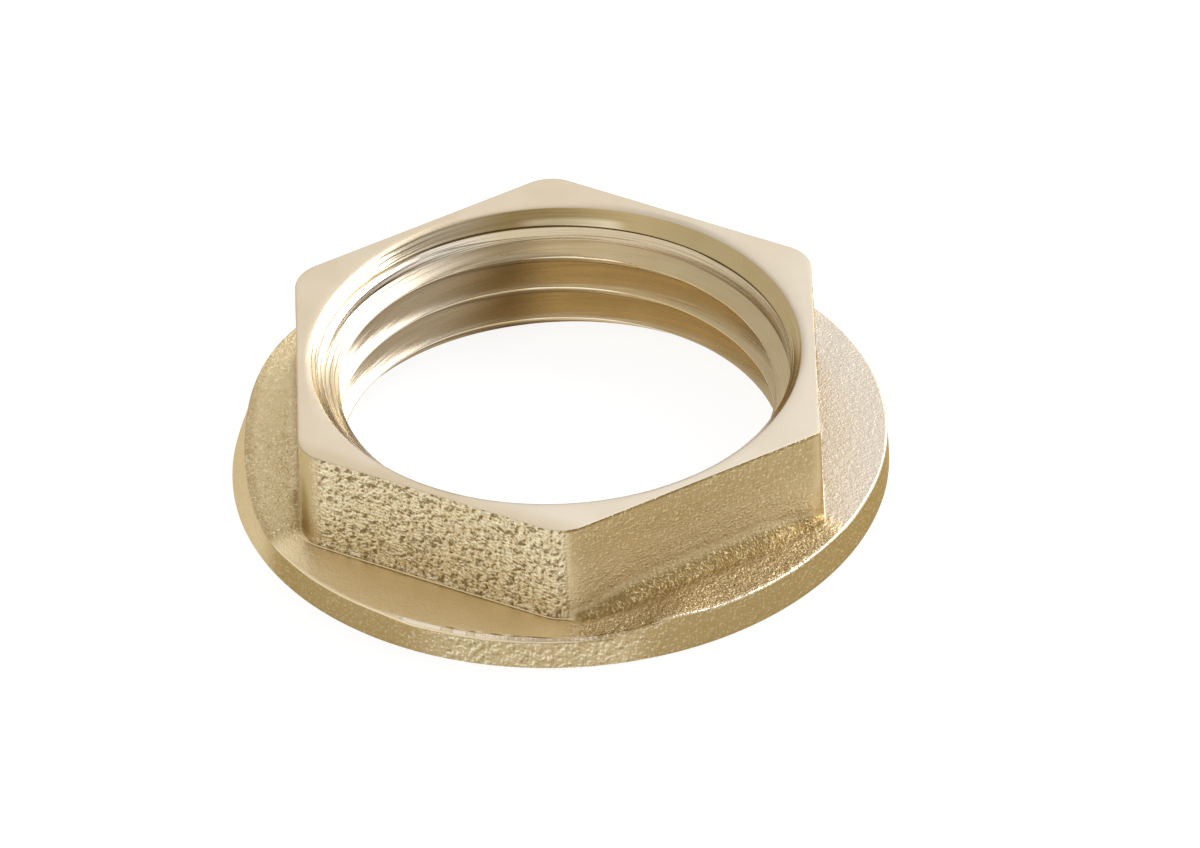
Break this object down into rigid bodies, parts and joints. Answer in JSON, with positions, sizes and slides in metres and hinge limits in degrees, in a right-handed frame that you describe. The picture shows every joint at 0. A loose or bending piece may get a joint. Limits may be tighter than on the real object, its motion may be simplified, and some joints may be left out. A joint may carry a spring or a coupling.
{
  "type": "lock nut",
  "caption": "Forged brass hexagon lock nut with a round flange below the flats and an internal pipe thread, screwed up against a panel or fitting to lock a threaded tail.",
  "frame": {"origin": "centre of the flange's underside, on the thread axis", "axes": "+Z along the thread axis, from the flange towards the hexagon; two corners of the hexagon lie on the Y axis and two flats face along X"},
  "size_m": [0.0228, 0.0228, 0.005],
  "materials": {
    "brass": "shot-blasted forging, with a faced top and a turned, tapped hole"
  },
  "bodies": {
    "root": {"lock_nut": "brass"}
  },
  "joints": []
}
